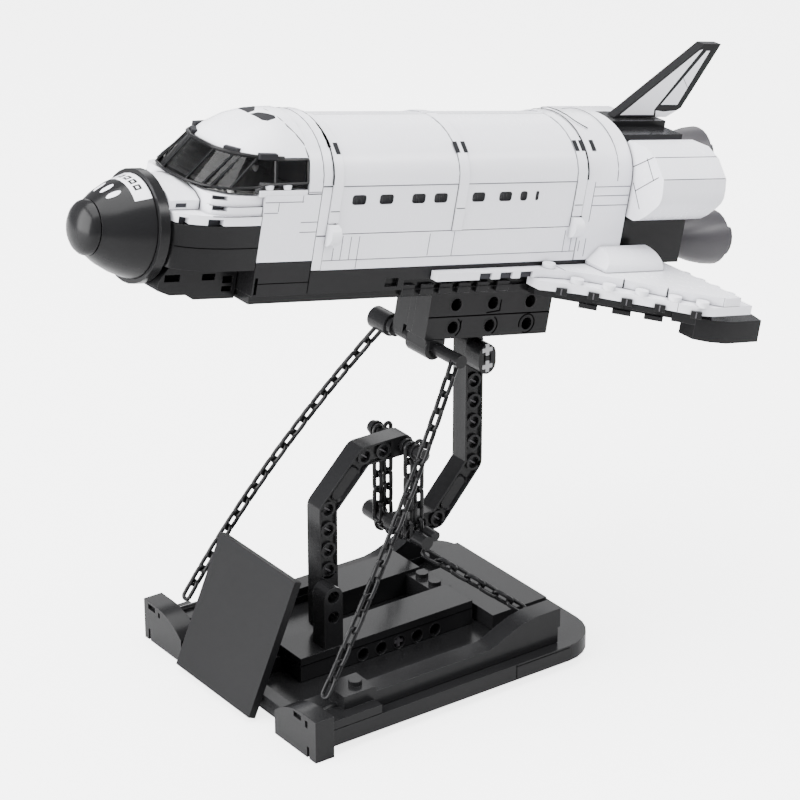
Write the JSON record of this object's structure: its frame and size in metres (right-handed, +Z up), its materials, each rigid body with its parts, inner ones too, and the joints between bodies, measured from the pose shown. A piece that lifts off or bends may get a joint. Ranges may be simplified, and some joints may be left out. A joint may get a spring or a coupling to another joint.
{
  "type": "toy space shuttle on a hanging-chain display stand",
  "caption": "Brick-built toy space shuttle with two opening bay doors, held nose-up over a black two-arm display stand with chains.",
  "frame": {"origin": "under the middle of the stand's 112 by 128 mm plan, on the surface that its bottom plate rests on", "axes": "+Z up, -Y towards the shuttle's nose, +X towards its port side"},
  "size_m": [0.137, 0.2726, 0.2176],
  "materials": {
    "white_plastic": "smooth moulded",
    "black_plastic": "smooth moulded",
    "grey_plastic": "smooth moulded",
    "smoked_plastic": "smoked clear"
  },
  "bodies": {
    "shuttle_and_stand": {"base_frame": "black_plastic", "base_rim": "black_plastic", "front_wall": "black_plastic", "port_strip": "black_plastic", "starboard_strip": "black_plastic", "deck_beam": "black_plastic", "deck_tile": "black_plastic", "deck_plates": "black_plastic", "sign_plate": "black_plastic", "sign_prop": "black_plastic", "base_arm": "black_plastic", "shuttle_arm": "black_plastic", "upper_axle": "black_plastic", "lower_axle": "black_plastic", "front_chain_port": "black_plastic", "front_chain_starboard": "black_plastic", "rear_chain_port": "black_plastic", "rear_chain_starboard": "black_plastic", "middle_chain_port": "black_plastic", "middle_chain_starboard": "black_plastic", "nose_cap": "black_plastic", "nose_cone": "black_plastic", "nose_ring": "black_plastic", "nose_courses": "black_plastic", "chin": "black_plastic", "white_courses": "white_plastic", "nose_hood": "white_plastic", "forward_fuselage": "white_plastic", "cockpit_glass": "smoked_plastic", "cockpit_roof": "white_plastic", "bay_front_frame": "white_plastic", "hull": "black_plastic", "bay_floor": "white_plastic", "bay_side_port": "white_plastic", "bay_side_starboard": "white_plastic", "aft_frame": "white_plastic", "tail_body": "black_plastic", "pod_port": "white_plastic", "pod_starboard": "white_plastic", "main_bell_port": "grey_plastic", "main_bell_starboard": "grey_plastic", "main_bell_top": "grey_plastic", "pod_nozzle_port": "grey_plastic", "pod_nozzle_starboard": "grey_plastic", "fin": "white_plastic", "wing_lower_port": "white_plastic", "wing_lower_starboard": "white_plastic", "wing_upper_port": "white_plastic", "wing_upper_starboard": "white_plastic", "wing_under_port": "black_plastic", "wing_under_starboard": "black_plastic", "wing_fairing_port": "white_plastic", "wing_fairing_starboard": "white_plastic", "belly_bracket": "black_plastic"},
    "door_port": {"door_port_crown": "white_plastic", "door_port_window_panel_fore": "white_plastic", "door_port_window_panel_aft": "white_plastic"},
    "door_starboard": {"door_starboard_crown": "white_plastic", "door_starboard_window_panel_fore": "white_plastic", "door_starboard_window_panel_aft": "white_plastic"}
  },
  "joints": [
    {"name": "door_port_hinge", "type": "hinge", "parent": "shuttle_and_stand", "child": "door_port", "pos_m": [0.028, 0.04859, 0.16217], "axis": [0, 0.9816, -0.1908], "range_deg": [0, 110]},
    {"name": "door_starboard_hinge", "type": "hinge", "parent": "shuttle_and_stand", "child": "door_starboard", "pos_m": [-0.02, 0.04859, 0.16217], "axis": [0, -0.9816, 0.1908], "range_deg": [0, 110]}
  ]
}
